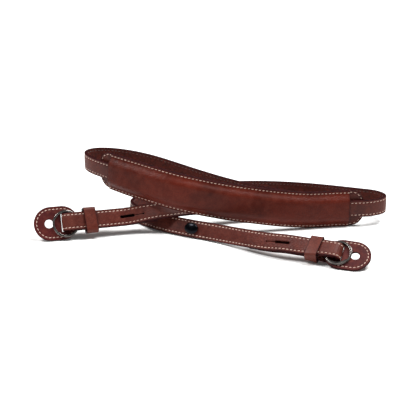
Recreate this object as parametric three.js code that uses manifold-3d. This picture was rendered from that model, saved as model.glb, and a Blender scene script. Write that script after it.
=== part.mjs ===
import * as THREE from "three";
import { mergeVertices } from "three/addons/utils/BufferGeometryUtils.js";
import Module from "manifold-3d";

// Camera neck strap with a shoulder pad, laid down in two turns. Millimetres, +Z up,
// origin under the middle of its bounding box.

const strapWidth = 12.5;
const strapThick = 2.4;
const strapBevel = 0.35;
const foldReach = 13; // length behind a crest that lies at the fold's own lean
const foldStart = 4.75; // distance from the crest of a fold to the centre of its arc
const gap = 0.3; // air between neighbouring pieces

const padWidth = 27.5;
const padLeather = 1.8;
const padFrom = 405.2; // distances along the strap from the left crest
const padTo = 613.6;
const padCorner = 10; // corner radius of the backing
const coverInset = 11; // bare length of the backing beyond the outer leather

const keeperLength = 9;
const keeperWidth = 17.2;
const keeperWall = 1.4;

const ringOuter = 9.9;
const wireWide = 1.55;
const wireThick = 1.0;
const coilPitch = 1.15;
const ringInboard = 2.8; // ring centre behind the crest

const flapWidth = 24.8;
const flapTip = 19.8; // outboard end, from the crest
const flapBack = 12.2; // inboard end, from the crest
const flapThick = 1.6;
const flapTop = -2.8; // level of its outer face under the strap's straight line
const lugHole = 6.2;
const lugHoleAt = 9.3;

const slotLength = 11;
const slotWidth = 2.2;
const slitWidth = 0.5;

const degrees = Math.PI / 180;

// crest of each fold, length, heading and pitch of the straight run that leads to it, its lean
// towards the left of travel, and the lean that ring, flap and fold lie at
const ends = {
  left: {
    crest: [-109.7, -13.2, 13.2],
    run: 44,
    heading: 14,
    pitch: 0,
    lean: 29,
    foldLean: 28,
    keeper: 20.8,
    tail: 70,
  },
  right: {
    crest: [89.2, -60.8, 10.4],
    run: 39.5,
    heading: -18,
    pitch: -1.5,
    lean: 50,
    foldLean: 60,
    keeper: 19.8,
    tail: 69.5,
  },
};

// centre line of the strap between its straight ends: x, y, z, lean
const route = [
  [-51.7, 0.6, 14.8, 38],
  [-37.7, 1.2, 16.85, 46],
  [-24.4, 5.65, 16.9, 48],
  [-9.4, 12.6, 15.8, 46],
  [9.6, 18.8, 14.1, 36],
  [29.6, 21.8, 12.2, 22],
  [47.6, 22.4, 9.4, 10],
  [61.6, 24, 7.5, 3],
  [71.2, 29.8, 6.7, 0],
  [73.8, 38, 6.7, 0],
  [68, 45.2, 7.3, 0],
  [55.6, 48.4, 8.7, 0],
  [41.6, 48.6, 11.1, 0],
  [24.6, 49.6, 14.3, 0],
  [1.6, 52.8, 19.5, 0],
  [-22.4, 57, 25.9, 0],
  [-46.4, 60.8, 32.5, 0],
  [-66.9, 59.2, 37.7, 0],
  [-81.9, 53.8, 41.1, 0],
  [-91.7, 46.8, 42.9, 0],
  [-95.6, 38.6, 43.5, 0],
  [-92.6, 30.1, 43.2, 0],
  [-84.9, 22.2, 42.3, 0],
  [-69.7, 11.5, 40.6, 2],
  [-57.4, 5.5, 39.4, 4],
  [-43.1, -1.3, 37.7, 6],
  [-27.1, -5.4, 35.05, 7],
  [-9.5, -4.8, 30.85, 7],
  [9.1, -3, 26.15, 5],
  [29.8, 0.3, 21.2, 3],
  [50.7, 3.9, 16.85, 1],
  [73.3, 7.9, 14.25, 0],
  [93, 11.2, 13.8, 0],
  [111.1, 12.4, 13.9, 0],
  [122.1, 15.2, 14.3, 0],
  [128.6, 22.4, 14.4, 0],
  [124.8, 30.6, 14.4, 0],
  [113.6, 36.6, 14.2, 0],
  [97.2, 44.2, 13.4, 0],
  [76.6, 53.8, 12.1, 0],
  [53.6, 62.6, 10.5, 0],
  [27.6, 69.4, 8.5, 0],
  [1.6, 71.2, 7, 0],
  [-22.4, 66.6, 6.35, 0],
  [-42.4, 56.6, 6.3, 0],
  [-56.4, 44.2, 6.3, 0],
  [-61.8, 31.2, 6.3, 2],
  [-55.8, 19, 6.3, 10],
  [-47.9, 12, 6.25, 22],
  [-37.2, 3.9, 5.95, 34],
  [-25.9, -2.8, 6, 33],
  [-14.1, -9.1, 6.25, 26],
  [2, -17.3, 6.7, 24],
  [17.8, -27.7, 7.8, 28],
  [31.9, -38.2, 9.5, 36],
  [42.2, -44.2, 10.5, 45],
];

// heights over the strap's straight line near a fold: distance from the crest, outer run, tail
const layers = [
  [4.75, 1.2, -5.9],
  [9, 1.2, -5.9],
  [12.6, 1.2, -5.9],
  [14.5, 1, -5.35],
  [17, 0.5, -4.4],
  [20, 0.12, -3.45],
  [23, 0, -2.95],
  [26, 0, -2.75],
  [32, 0, -2.7],
  [44, 0, -2.7],
  [58, 0, -3.0],
  [80, 0, -3.3],
];

const vec = (x, y, z) => new THREE.Vector3(x, y, z);

// direction of travel along the straight run of an end
function runDirection({ heading, pitch }) {
  const [turn, climb] = [heading * degrees, pitch * degrees];
  const level = Math.cos(climb);
  return vec(level * Math.cos(turn), level * Math.sin(turn), Math.sin(climb));
}

// point and lean on a straight run, at a distance from its crest
function onRun(side, distance) {
  const end = ends[side];
  const sign = side === "left" ? 1 : -1;
  const point = vec(...end.crest).addScaledVector(runDirection(end), sign * distance);
  const settled = THREE.MathUtils.smoothstep(distance, foldReach, end.run - 5);
  return { point, lean: THREE.MathUtils.lerp(end.foldLean, end.lean, settled) };
}

function interpolate(table, column, s) {
  const at = table.findIndex((row) => row[0] > s);
  if (at < 0) return table.at(-1)[column];
  if (at === 0) return table[0][column];
  const [a, b] = [table[at - 1], table[at]];
  return THREE.MathUtils.mapLinear(s, a[0], b[0], a[column], b[column]);
}

// slopes of a cubic spline through values, its end slopes given
function splineSlopes(knots, values, first, last) {
  const count = knots.length;
  const diagonal = [1];
  const right = [first];
  for (let i = 1; i < count - 1; i++) {
    const before = 1 / (knots[i] - knots[i - 1]);
    const after = 1 / (knots[i + 1] - knots[i]);
    const upper = i === 1 ? 0 : 1 / (knots[i] - knots[i - 1]);
    const ratio = before / diagonal[i - 1];
    diagonal.push(2 * (before + after) - ratio * upper);
    const pull =
      3 * ((values[i] - values[i - 1]) * before ** 2 + (values[i + 1] - values[i]) * after ** 2);
    right.push(pull - ratio * right[i - 1]);
  }
  const slopes = new Array(count);
  slopes[count - 1] = last;
  for (let i = count - 2; i > 0; i--)
    slopes[i] = (right[i] - slopes[i + 1] / (knots[i + 1] - knots[i])) / diagonal[i];
  slopes[0] = first;
  return slopes;
}

function centreLine() {
  const [start, stop] = ["left", "right"].map((side) => onRun(side, ends[side].run).point);
  const rows = [[...start, ends.left.lean], ...route, [...stop, ends.right.lean]];
  const knots = [0];
  for (let i = 1; i < rows.length; i++)
    knots.push(knots[i - 1] + vec(...rows[i]).distanceTo(vec(...rows[i - 1])));
  const first = [...runDirection(ends.left), 0];
  const last = [...runDirection(ends.right), 0];
  const slopes = [0, 1, 2, 3].map((column) =>
    splineSlopes(knots, rows.map((row) => row[column]), first[column], last[column]),
  );
  return { rows, knots, slopes };
}

// fine samples of the centre line: distance from the left crest, point and lean
function sampleLine() {
  const { rows, knots, slopes } = centreLine();
  const samples = [];
  const put = ({ point, lean }) => {
    const last = samples.at(-1);
    samples.push({ s: last ? last.s + last.point.distanceTo(point) : 0, point, lean });
  };
  for (let a = 0; a < ends.left.run; a++) put(onRun("left", a));
  for (let i = 0; i < rows.length - 1; i++) {
    const h = knots[i + 1] - knots[i];
    for (let k = 0; k < 16; k++) {
      const u = k / 16;
      const value = [0, 1, 2, 3].map(
        (c) =>
          (2 * u ** 3 - 3 * u ** 2 + 1) * rows[i][c] +
          (u ** 3 - 2 * u ** 2 + u) * h * slopes[c][i] +
          (3 * u ** 2 - 2 * u ** 3) * rows[i + 1][c] +
          (u ** 3 - u ** 2) * h * slopes[c][i + 1],
      );
      put({ point: vec(...value.slice(0, 3)), lean: value[3] });
    }
  }
  for (let a = ends.right.run - 0.5; a >= 0; a--) put(onRun("right", a));
  return samples;
}

const samples = sampleLine();
const lineLength = samples.at(-1).s;

// frame at a distance along the strap: t along it, w across it, n out of its good side
function frameAt(s) {
  const limit = samples.length - 2;
  const at = Math.min(Math.max(samples.findIndex((sample) => sample.s > s) - 1, 0), limit);
  const i = s >= lineLength ? limit : at;
  const [a, b] = [samples[i], samples[i + 1]];
  const u = (s - a.s) / (b.s - a.s);
  const before = samples[Math.max(i - 1, 0)].point;
  const after = samples[Math.min(i + 2, samples.length - 1)].point;
  const t0 = b.point.clone().sub(before).normalize();
  const t1 = after.clone().sub(a.point).normalize();
  const t = t0.lerp(t1, THREE.MathUtils.clamp(u, 0, 1)).normalize();
  const lean = THREE.MathUtils.lerp(a.lean, b.lean, u) * degrees;
  const upright = vec(0, 0, 1).addScaledVector(t, -t.z).normalize();
  const left = upright.clone().cross(t);
  const w = upright.multiplyScalar(Math.cos(lean)).addScaledVector(left, Math.sin(lean));
  const n = t.clone().cross(w);
  return { s, p: a.point.clone().lerp(b.point, u), t, w, n };
}

// distances where the line has turned far enough to need another section
function stations(from, to, longest = 15, turn = 9) {
  const found = [from];
  let last = frameAt(from);
  for (let s = from + 1; s < to - 1.5; s += 0.5) {
    const now = frameAt(s);
    const bent = Math.max(now.t.angleTo(last.t), now.w.angleTo(last.w)) / degrees;
    if (bent > turn || s - last.s > longest) {
      found.push(s);
      last = now;
    }
  }
  return [...found, to];
}

// sections shared by the strap and the pad, so that they bend at the same places
const cornerSteps = [0, 0.6, 2, 4.2, 7, padCorner, coverInset];
const marks = [
  40,
  ...cornerSteps.map((d) => padFrom + d),
  ...cornerSteps.map((d) => padTo - d).reverse(),
  lineLength - 40,
];
const lineStations = [40, ...marks.slice(1).flatMap((to, i) => stations(marks[i], to).slice(1))];
const stationsBetween = (from, to) => lineStations.filter((s) => s >= from - 0.01 && s <= to + 0.01);

// closed skin over sections of equal length; a section lists its outer and inner points
function skin(sections) {
  const half = sections[0].outer.length;
  const loops = sections.map(({ outer, inner }) => [...outer, ...[...inner].reverse()]);
  const count = half * 2;
  const index = [];
  for (let i = 0; i < loops.length - 1; i++)
    for (let j = 0; j < count; j++) {
      const k = (j + 1) % count;
      const [a, b, c, d] = [i * count + j, i * count + k, (i + 1) * count + j, (i + 1) * count + k];
      index.push(a, c, b, b, c, d);
    }
  const end = (loops.length - 1) * count;
  for (let j = 0; j < half - 1; j++) {
    const [a, b, c, d] = [j, j + 1, count - 1 - j, count - 2 - j];
    index.push(a, b, c, b, d, c);
    index.push(end + a, end + c, end + b, end + b, end + c, end + d);
  }
  const geometry = new THREE.BufferGeometry();
  const points = loops.flat().flatMap((point) => [point.x, point.y, point.z]);
  geometry.setAttribute("position", new THREE.Float32BufferAttribute(points, 3));
  geometry.setIndex(index);
  return geometry;
}

// section of a strip from rows of width, outer height and inner height
function stripSection({ p, w, n }, rows) {
  const at = (x, y) => p.clone().addScaledVector(w, x).addScaledVector(n, y);
  return {
    outer: rows.map(([x, outer]) => at(x, outer)),
    inner: rows.map(([x, , inner]) => at(x, inner)),
  };
}

// places a height over the line, the frame turned to the slope of the lifted line
function lifted(points) {
  return points.map((point, i) => {
    const before = points[Math.max(i - 1, 0)].p;
    const after = points[Math.min(i + 1, points.length - 1)].p;
    const t = after.clone().sub(before).normalize();
    return { p: point.p, w: point.w, n: t.clone().cross(point.w).normalize() };
  });
}

// both runs and the arc of one fold, from the tail's end to where the layers have closed
function foldLine(side) {
  const left = side === "left";
  const base = (s) => frameAt(left ? s : lineLength - s);
  const raise = (s, height) => {
    const frame = base(s);
    return { p: frame.p.addScaledVector(frame.n, height), w: frame.w };
  };
  const tail = ends[side].tail;
  const steps = [tail, 62, 53, ...layers.map((row) => row[0]).filter((s) => s < 50).reverse()];
  const line = steps.map((s) => raise(s, interpolate(layers, 2, s)));
  const [, top, bottom] = layers[0];
  const radius = (top - bottom) / 2;
  const centre = base(foldStart);
  const out = centre.t.clone().multiplyScalar(left ? -1 : 1);
  for (let i = 1; i < 10; i++) {
    const angle = (i / 10) * 180 * degrees;
    const p = centre.p
      .clone()
      .addScaledVector(centre.n, (top + bottom) / 2 - radius * Math.cos(angle))
      .addScaledVector(out, radius * Math.sin(angle));
    line.push({ p, w: centre.w });
  }
  for (const [s, height] of layers) if (s < 40) line.push(raise(s, height));
  return lifted(left ? line : line.reverse());
}

const wasm = await Module();
wasm.setup();

function toSolid(geometry) {
  const bare = geometry.clone();
  bare.deleteAttribute("normal");
  bare.deleteAttribute("uv");
  const merged = mergeVertices(bare, 1e-4);
  return new wasm.Manifold(
    new wasm.Mesh({
      numProp: 3,
      vertProperties: merged.attributes.position.array,
      triVerts: new Uint32Array(merged.index.array),
    }),
  );
}

function toGeometry(solid) {
  const mesh = solid.getMesh();
  const geometry = new THREE.BufferGeometry();
  geometry.setAttribute("position", new THREE.BufferAttribute(mesh.vertProperties, 3));
  geometry.setIndex(new THREE.BufferAttribute(mesh.triVerts, 1));
  return geometry;
}

function placed(geometry, { p, t, w, n }) {
  return geometry.applyMatrix4(new THREE.Matrix4().makeBasis(t, w, n).setPosition(p));
}

function shiftedFrame(s, height = 0) {
  const frame = frameAt(s);
  frame.p.addScaledVector(frame.n, height);
  return frame;
}

// a stud's place, its slot and the slit that runs on from the slot, in from each crest
const fastenings = {
  left: { slot: 48, slitEnd: 60, stud: 104, sign: 1 },
  right: { slot: 42.8, slitEnd: 54.8, stud: 117.8, sign: -1 },
};
const studNeck = 3.4;
const studHole = 4.1;

function slotCutters(side) {
  const { slot, slitEnd, stud, sign } = fastenings[side];
  const along = (s) => (side === "left" ? s : lineLength - s);
  const depth = strapThick + 0.6;
  const level = 0.15;
  const bar = new THREE.BoxGeometry(slotLength - slotWidth, slotWidth, depth);
  const round = (radius, sides) =>
    new THREE.CylinderGeometry(radius, radius, depth, sides).rotateX(Math.PI / 2);
  const slitFrom = slot + slotLength / 2 - 0.3;
  const slit = new THREE.BoxGeometry(slitEnd - slitFrom, slitWidth, depth);
  const reach = ((slotLength - slotWidth) / 2) * sign;
  return [
    placed(bar, shiftedFrame(along(slot), level)),
    placed(round(slotWidth / 2, 12).translate(reach, 0, 0), shiftedFrame(along(slot), level)),
    placed(round(slotWidth / 2, 12).translate(-reach, 0, 0), shiftedFrame(along(slot), level)),
    placed(slit, shiftedFrame(along((slitFrom + slitEnd) / 2), level)),
    placed(round(0.6, 8), shiftedFrame(along(slitEnd), level)),
    placed(round(studHole / 2, 16), shiftedFrame(along(stud), 0)),
  ];
}

function strapGeometry() {
  const middle = lineStations.map((s) => frameAt(s));
  const line = [...foldLine("left"), ...middle, ...foldLine("right")];
  const [x, y, b] = [strapWidth / 2, strapThick / 2, strapBevel];
  const rows = [
    [-x, y - b, b - y],
    [b - x, y, -y],
    [0, y, -y],
    [x - b, y, -y],
    [x, y - b, b - y],
  ];
  let solid = toSolid(skin(line.map((frame) => stripSection(frame, rows))));
  for (const side of ["left", "right"])
    for (const cutter of slotCutters(side)) solid = solid.subtract(toSolid(cutter));
  return toGeometry(solid);
}

// half width of the backing at a distance from its nearer end
function roundedHalf(distance) {
  const inside = Math.min(distance, padCorner);
  return padWidth / 2 - padCorner + Math.sqrt(padCorner ** 2 - (padCorner - inside) ** 2);
}

function backingGeometry() {
  const top = -strapThick / 2 - gap - 0.15;
  const low = top - padLeather;
  return skin(
    stationsBetween(padFrom, padTo).map((s) => {
      const x = roundedHalf(Math.min(s - padFrom, padTo - s));
      const rows = [-x, 0.4 - x, -0.45 * x, 0, 0.45 * x, x - 0.4, x].map((w, i) =>
        i % 6 ? [w, top, low] : [w, top - 0.4, low + 0.4],
      );
      return stripSection(frameAt(s), rows);
    }),
  );
}

// half section of the pad's outer leather: width, outer height; domed over the strap
const coverHalf = [
  [0, 3.6],
  [3.4, 3.52],
  [6.4, 3.3],
  [8.4, 2.35],
  [10.4, 1.05],
  [11.4, 0.58],
  [13.35, 0.55],
  [13.75, 0.15],
];

function coverGeometry() {
  const rows = coverHalf.map(([x, y], i) => [x, y, i === 7 ? y - 1 : y - padLeather]);
  const mirrored = rows.slice(1).reverse().map(([x, outer, inner]) => [-x, outer, inner]);
  const list = stationsBetween(padFrom + coverInset, padTo - coverInset);
  return skin(list.map((s) => stripSection(frameAt(s), [...mirrored, ...rows])));
}

// closed loop of leather round both layers, its back wall following the tail's slope
function keeperGeometry(side) {
  const from = ends[side].keeper - keeperLength / 2;
  const steps = [0, 0.06, 0.35, 0.65, 0.94, 1].map((u) => from + u * keeperLength);
  const loopAt = (s, inset) => {
    const frame = frameAt(side === "left" ? s : lineLength - s);
    const lift = Math.max(interpolate(layers, 1, s), interpolate(layers, 1, s + 0.5));
    const sink = interpolate(layers, 2, Math.min(s, from + keeperLength));
    const top = lift + strapThick / 2 + 0.35 + keeperWall;
    const low = sink - strapThick / 2 - 0.55 - keeperWall;
    const x = keeperWidth / 2;
    const [outer, inner] = [0, keeperWall].map((wall) => {
      const radius = wall ? 0.9 : 2.2;
      const [hx, hi, lo] = [x - wall, top - wall, low + wall].map((v, i) =>
        wall ? v : v + (i === 1 ? -inset : i === 2 ? inset : -inset),
      );
      const corners = [
        [hx - radius, hi - radius, 0],
        [radius - hx, hi - radius, 90],
        [radius - hx, lo + radius, 180],
        [hx - radius, lo + radius, 270],
      ];
      return corners.flatMap(([cx, cy, turn]) =>
        [0, 30, 60, 90].map((angle) => {
          const a = (turn + angle) * degrees;
          const [px, py] = [cx + radius * Math.cos(a), cy + radius * Math.sin(a)];
          return frame.p.clone().addScaledVector(frame.w, px).addScaledVector(frame.n, py);
        }),
      );
    });
    return { outer, inner };
  };
  const sections = steps.map((s, i) => loopAt(s, i === 0 || i === steps.length - 1 ? 0.3 : 0));
  if (side === "right") sections.reverse();
  return tube(sections);
}

// closed ring wall from sections that each hold an outer and an inner loop
function tube(sections) {
  const count = sections[0].outer.length;
  const points = [];
  const index = [];
  for (const { outer, inner } of sections)
    for (const point of [...outer, ...inner]) points.push(point.x, point.y, point.z);
  const at = (i, wall, j) => i * count * 2 + wall * count + (j % count);
  for (let i = 0; i < sections.length - 1; i++)
    for (let j = 0; j < count; j++) {
      const [a, b] = [at(i, 0, j), at(i, 0, j + 1)];
      const [c, d] = [at(i + 1, 0, j), at(i + 1, 0, j + 1)];
      index.push(a, b, c, b, d, c);
      const [e, f] = [at(i, 1, j), at(i, 1, j + 1)];
      const [g, h] = [at(i + 1, 1, j), at(i + 1, 1, j + 1)];
      index.push(e, g, f, f, g, h);
    }
  const last = sections.length - 1;
  for (let j = 0; j < count; j++) {
    index.push(at(0, 0, j), at(0, 1, j), at(0, 0, j + 1));
    index.push(at(0, 0, j + 1), at(0, 1, j), at(0, 1, j + 1));
    index.push(at(last, 0, j), at(last, 0, j + 1), at(last, 1, j));
    index.push(at(last, 0, j + 1), at(last, 1, j + 1), at(last, 1, j));
  }
  const geometry = new THREE.BufferGeometry();
  geometry.setAttribute("position", new THREE.Float32BufferAttribute(points, 3));
  geometry.setIndex(index);
  return geometry;
}

// frame at a crest: first axis outboard, second across the strap, third out of its good side
function crestFrame(side) {
  const frame = frameAt(side === "left" ? 0 : lineLength);
  if (side === "right") return frame;
  return { ...frame, t: frame.t.clone().negate(), w: frame.w.clone().negate() };
}

// one length of flat wire wound to two coils, stepping up from the first to the second
function splitRingGeometry(side) {
  const from = 35;
  const to = 685;
  const middle = ringOuter - wireWide / 2;
  const [x, y, b] = [wireWide / 2, wireThick / 2, 0.22];
  const rows = [
    [-x, y - b, b - y],
    [b - x, y, -y],
    [x - b, y, -y],
    [x, y - b, b - y],
  ];
  const level = -(gap + wireThick / 2 + coilPitch);
  const sections = [];
  for (let i = 0; i <= 58; i++) {
    const angle = from + ((to - from) * i) / 58;
    const rise = THREE.MathUtils.smoothstep(angle, 325, 395) * coilPitch;
    const a = angle * degrees;
    const out = vec(Math.cos(a), Math.sin(a), 0);
    const p = out.clone().multiplyScalar(middle).setZ(level + rise);
    sections.push(stripSection({ p, w: out.negate(), n: vec(0, 0, 1) }, rows));
  }
  return placed(skin(sections).translate(-ringInboard, 0, 0), crestFrame(side));
}

function flapGeometry(side) {
  const radius = flapWidth / 2;
  const outline = new THREE.Shape();
  outline.absarc(flapTip - radius, 0, radius, -Math.PI / 2, Math.PI / 2);
  outline.absarc(radius - flapBack, 0, radius, Math.PI / 2, Math.PI * 1.5);
  outline.closePath();
  const hole = new THREE.Path();
  hole.absarc(lugHoleAt, 0, lugHole / 2, 0, Math.PI * 2, true);
  const slot = new THREE.Path();
  const [inboard, outboard, across] = [-4.25, 0.45, strapWidth / 2 + 0.35];
  slot.moveTo(inboard, -across);
  slot.lineTo(inboard, across);
  slot.lineTo(outboard, across);
  slot.lineTo(outboard, -across);
  slot.closePath();
  outline.holes.push(hole, slot);
  const options = { depth: flapThick, bevelEnabled: false, curveSegments: 14 };
  const sheet = new THREE.ExtrudeGeometry(outline, options);
  return placed(sheet.translate(0, 0, flapTop - flapThick), crestFrame(side));
}

// domed head, neck through the strap and the plate behind it: radius, height
const studProfile = [
  [0, -2.6],
  [3.6, -2.6],
  [4, -2.3],
  [4, -1.6],
  [studNeck / 2, -1.6],
  [studNeck / 2, 1.6],
  [3.9, 1.65],
  [4.8, 2.1],
  [5, 2.7],
  [4.6, 3.6],
  [3.5, 4.35],
  [1.9, 4.8],
  [0, 4.95],
];

function studGeometry(side) {
  const profile = studProfile.map(([radius, height]) => new THREE.Vector2(radius, height));
  const turned = new THREE.LatheGeometry(profile, 20).rotateX(Math.PI / 2);
  const spots = turned.attributes.position;
  for (let i = 0; i < spots.count; i++) if (spots.getZ(i) > 1.55) spots.setY(i, spots.getY(i) * 0.84);
  const { stud } = fastenings[side];
  return placed(turned, frameAt(side === "left" ? stud : lineLength - stud));
}

const finishes = {
  leather: { color: 0x5a2e29, roughness: 0.62, metalness: 0 },
  lining: { color: 0x512824, roughness: 0.72, metalness: 0 },
  loop: { color: 0x6b3a30, roughness: 0.58, metalness: 0 },
  ring: { color: 0x8f8d88, roughness: 0.28, metalness: 1 },
  stud: { color: 0x14151c, roughness: 0.22, metalness: 0.6 },
};

const group = new THREE.Group();

function add(name, geometry, finish) {
  const mesh = new THREE.Mesh(geometry, new THREE.MeshStandardMaterial(finishes[finish]));
  mesh.geometry.computeVertexNormals();
  mesh.name = name;
  group.add(mesh);
}

add("strap", strapGeometry(), "leather");
add("pad_cover", coverGeometry(), "leather");
add("pad_backing", backingGeometry(), "lining");
for (const side of ["left", "right"]) {
  add(`keeper_${side}`, keeperGeometry(side), "loop");
  add(`split_ring_${side}`, splitRingGeometry(side), "ring");
  add(`flap_${side}`, flapGeometry(side), "leather");
  add(`stud_${side}`, studGeometry(side), "stud");
}

export default group;
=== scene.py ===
import math

import bmesh
import bpy
import numpy as np
from mathutils import Matrix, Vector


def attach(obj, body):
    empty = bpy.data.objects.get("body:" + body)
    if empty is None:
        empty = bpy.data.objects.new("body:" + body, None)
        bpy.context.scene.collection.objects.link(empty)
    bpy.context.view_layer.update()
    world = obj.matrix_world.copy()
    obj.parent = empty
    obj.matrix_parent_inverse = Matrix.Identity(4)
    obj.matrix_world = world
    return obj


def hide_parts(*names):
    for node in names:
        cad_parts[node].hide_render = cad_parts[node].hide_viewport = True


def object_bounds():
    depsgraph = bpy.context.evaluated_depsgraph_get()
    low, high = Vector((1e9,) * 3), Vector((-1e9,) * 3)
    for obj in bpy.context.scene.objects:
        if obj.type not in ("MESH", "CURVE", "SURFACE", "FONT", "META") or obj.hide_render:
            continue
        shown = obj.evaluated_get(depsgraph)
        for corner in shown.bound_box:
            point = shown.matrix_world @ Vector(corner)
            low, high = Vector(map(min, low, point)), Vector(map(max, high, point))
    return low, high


# Brown leather neck strap for a camera, laid down in two turns: the strap with its folded ends,
# the shoulder pad, two keepers, two split rings, two leather flaps and two studs. Metres.

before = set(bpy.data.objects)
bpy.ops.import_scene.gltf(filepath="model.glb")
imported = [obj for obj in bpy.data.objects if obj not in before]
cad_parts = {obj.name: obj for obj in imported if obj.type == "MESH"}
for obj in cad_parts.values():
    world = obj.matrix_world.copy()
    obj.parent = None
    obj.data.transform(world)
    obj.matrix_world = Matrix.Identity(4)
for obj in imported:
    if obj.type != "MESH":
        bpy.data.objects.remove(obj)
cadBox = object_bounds()
print("frame loaded with", len(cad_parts), "CAD pieces")

mm = 0.001

# where the strap lies: the crest of each folded end, the straight run that leads to it, and
# distances in from that crest; inward is 1 where the line runs away from it; angles in degrees
ends = {
    "left": {
        "crest": (-0.1097, -0.0132, 0.0132), "inward": 1,
        "run": 0.044, "heading": 14, "pitch": 0, "lean": 29, "foldLean": 28,
        "keeper": 0.0208, "tail": 0.070, "slot": 0.048, "slitEnd": 0.060, "stud": 0.104,
    },
    "right": {
        "crest": (0.0892, -0.0608, 0.0104), "inward": -1,
        "run": 0.0395, "heading": -18, "pitch": -1.5, "lean": 44, "foldLean": 59,
        "keeper": 0.0198, "tail": 0.0695, "slot": 0.0428, "slitEnd": 0.0548, "stud": 0.1178,
    },
}

# centre line of the strap between its straight runs: x, y, z, lean towards the left of travel
route = [
    (-0.0517, 0.0006, 0.0148, 38), (-0.0377, 0.0012, 0.01685, 46), (-0.0244, 0.00565, 0.0169, 48),
    (-0.0094, 0.0126, 0.0158, 46), (0.0096, 0.0188, 0.0141, 36), (0.0296, 0.0218, 0.0122, 22),
    (0.0476, 0.0224, 0.0094, 10), (0.0616, 0.024, 0.0075, 3), (0.0712, 0.0298, 0.0067, 0),
    (0.0738, 0.038, 0.0067, 0), (0.068, 0.0452, 0.0073, 0), (0.0556, 0.0484, 0.0087, 0),
    (0.0416, 0.0486, 0.0111, 0), (0.0246, 0.0496, 0.0143, 0), (0.0016, 0.0528, 0.0195, 0),
    (-0.0224, 0.057, 0.0259, 0), (-0.0464, 0.0608, 0.0325, 0), (-0.0669, 0.0592, 0.0377, 0),
    (-0.0819, 0.0538, 0.0411, 0), (-0.0917, 0.0468, 0.0429, 0), (-0.0956, 0.0386, 0.0435, 0),
    (-0.0926, 0.0301, 0.0432, 0), (-0.0849, 0.0222, 0.0427, 0), (-0.0697, 0.0115, 0.0412, 2),
    (-0.0574, 0.0055, 0.0392, 4), (-0.0431, -0.0013, 0.037, 4), (-0.0271, -0.0054, 0.0337, 2),
    (-0.0095, -0.0048, 0.02935, 1), (0.0091, -0.003, 0.02505, 1), (0.0298, 0.0003, 0.0207, 1),
    (0.0507, 0.0039, 0.01685, 1), (0.0733, 0.0079, 0.01435, 0), (0.093, 0.0112, 0.01402, 0),
    (0.1111, 0.0124, 0.0141, 0), (0.1221, 0.0152, 0.0143, 0), (0.1286, 0.0224, 0.0144, 0),
    (0.1248, 0.0306, 0.0144, 0), (0.1136, 0.0366, 0.0142, 0), (0.0972, 0.0442, 0.0134, 0),
    (0.0766, 0.0538, 0.0121, 0), (0.0536, 0.0626, 0.0105, 0), (0.0276, 0.0694, 0.0085, 0),
    (0.0016, 0.0712, 0.007, 0), (-0.0224, 0.0666, 0.0066, 0), (-0.0424, 0.0566, 0.00656, 0),
    (-0.0564, 0.0442, 0.00656, 0), (-0.0618, 0.0312, 0.00657, 2), (-0.0558, 0.019, 0.00656, 10),
    (-0.0479, 0.012, 0.00645, 22), (-0.0372, 0.0039, 0.00615, 34), (-0.0259, -0.0028, 0.0062, 33),
    (-0.0141, -0.0091, 0.0064, 26), (0.002, -0.0173, 0.0067, 24), (0.0178, -0.0277, 0.0078, 28),
    (0.0319, -0.0382, 0.0095, 33), (0.0422, -0.0442, 0.0105, 40),
]

# the layers of a folded end: distance from the crest, height of the outer run, of the tail
layers = np.array([
    (4.75, 1.2, -5.9), (9, 1.2, -5.9), (12.6, 1.2, -5.9), (14.5, 1, -5.35), (17, 0.5, -4.4),
    (20, 0.12, -3.45), (23, 0, -2.95), (26, 0, -2.75), (32, 0, -2.7), (44, 0, -2.7),
    (58, 0, -3), (80, 0, -3.3),
]) * mm

strap = {
    "width": 0.0130,
    "thickness": 0.0024,
    "crown": 0.00012,  # the middle stands this much proud of the stitched sides
    "edgeRadius": 0.0006,
    "seam": 0.00012,  # the groove in the edge, where the two plies meet
    "stitchInset": 0.0018,
    "groove": 0.00024,
    "foldStart": 0.00475,  # from the crest to the centre of the fold's arc
    "foldReach": 0.013,  # behind the crest, the length that lies at the fold's own lean
    "spacing": 0.0014,  # between sections
    "lineStep": 0.0005,  # between the points that its path is made from
    "layered": 0.040,  # from each crest, the length whose two layers are worked out
    "wave": {"height": 0.00006, "along": 260, "across": 300, "seed": 5},
}
easing = 1.6  # millimetres over which the corners of the layers' table are eased
roundingShares = np.array([0, 0.07, 0.27, 0.6, 1])  # steps in over a rounded edge, by its radius


def unit(vectors):
    return vectors / np.linalg.norm(vectors, axis=-1, keepdims=True)


def smoothStep(x, low, high):
    u = np.clip((x - low) / (high - low), 0, 1)
    return u * u * (3 - 2 * u)


def runDirection(end):
    turn, climb = math.radians(end["heading"]), math.radians(end["pitch"])
    level = math.cos(climb)
    return np.array([level * math.cos(turn), level * math.sin(turn), math.sin(climb)])


def onRun(side, away):
    end = ends[side]
    place = np.array(end["crest"]) + end["inward"] * np.outer(away, runDirection(end))
    settled = smoothStep(away, strap["foldReach"], end["run"] - 0.005)
    return np.column_stack([place, end["foldLean"] + (end["lean"] - end["foldLean"]) * settled])


def splineSlopes(knots, rows, first, last):
    # slopes of a cubic spline whose two end slopes are given
    system, right = np.eye(len(rows)), np.zeros((len(rows), 4))
    right[0], right[-1] = first, last
    share = 1 / np.diff(knots)
    for i in range(1, len(rows) - 1):
        before, after = share[i - 1], share[i]
        system[i, i - 1:i + 2] = before, 2 * (before + after), after
        step = (rows[i] - rows[i - 1]) * before**2 + (rows[i + 1] - rows[i]) * after**2
        right[i] = 3 * step
    return np.linalg.solve(system, right)


def distances(points):
    # how far along its path each point lies
    return np.r_[0, np.cumsum(np.linalg.norm(np.diff(points, axis=0), axis=1))]


def between(where, at, rows):
    # x, y and z at places between the rows
    return np.column_stack([np.interp(where, at, rows[:, k]) for k in range(3)])


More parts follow.
